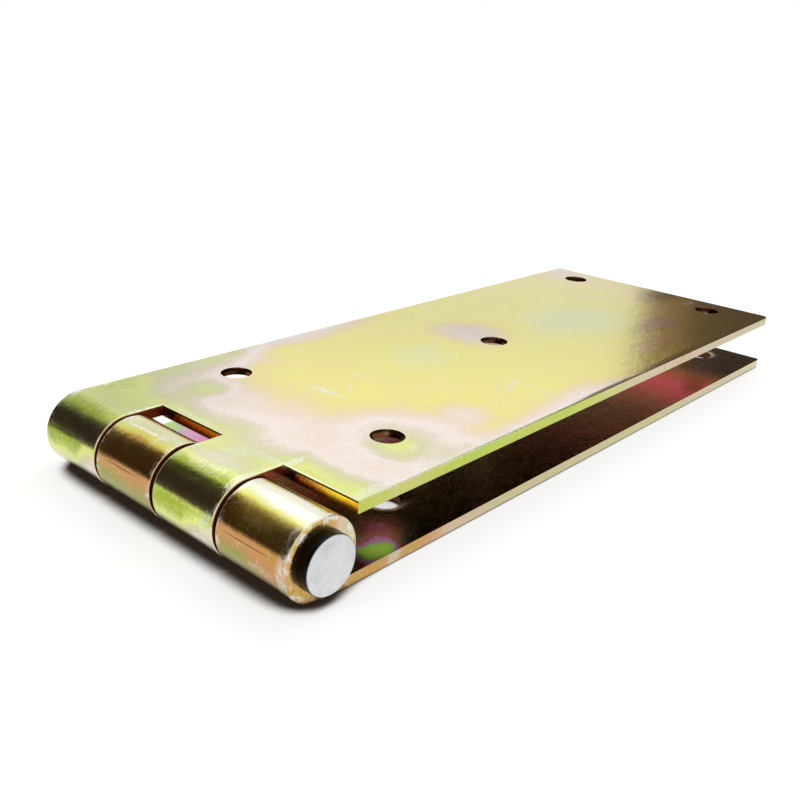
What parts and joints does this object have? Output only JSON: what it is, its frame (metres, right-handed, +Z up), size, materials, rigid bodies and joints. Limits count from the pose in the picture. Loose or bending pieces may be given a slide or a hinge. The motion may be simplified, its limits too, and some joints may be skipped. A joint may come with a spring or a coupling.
{
  "type": "folding door hinge",
  "caption": "Heavy folding hinge: long flat steel leaves with rolled knuckles on a plain pin, and countersunk screw holes.",
  "frame": {"origin": "centre of the folded hinge's outline, on the surface that its lower leaf lies on", "axes": "+X from the pin to the free ends of the leaves, +Y along the pin, +Z up, from the lower leaf to the upper one"},
  "size_m": [0.2066, 0.085, 0.0171],
  "materials": {
    "yellow_zinc": "yellow passivated zinc plating, satin",
    "bright_steel": "plain drawn steel with matte cut ends"
  },
  "bodies": {
    "lower": {"lower_leaf": "yellow_zinc", "hinge_pin": "bright_steel"},
    "upper": {"upper_leaf": "yellow_zinc"}
  },
  "joints": [
    {"name": "fold", "type": "hinge", "parent": "lower", "child": "upper", "pos_m": [-0.09473, 0, 0.00855], "axis": [0, -1, 0], "range_deg": [-3.4, 270]}
  ]
}
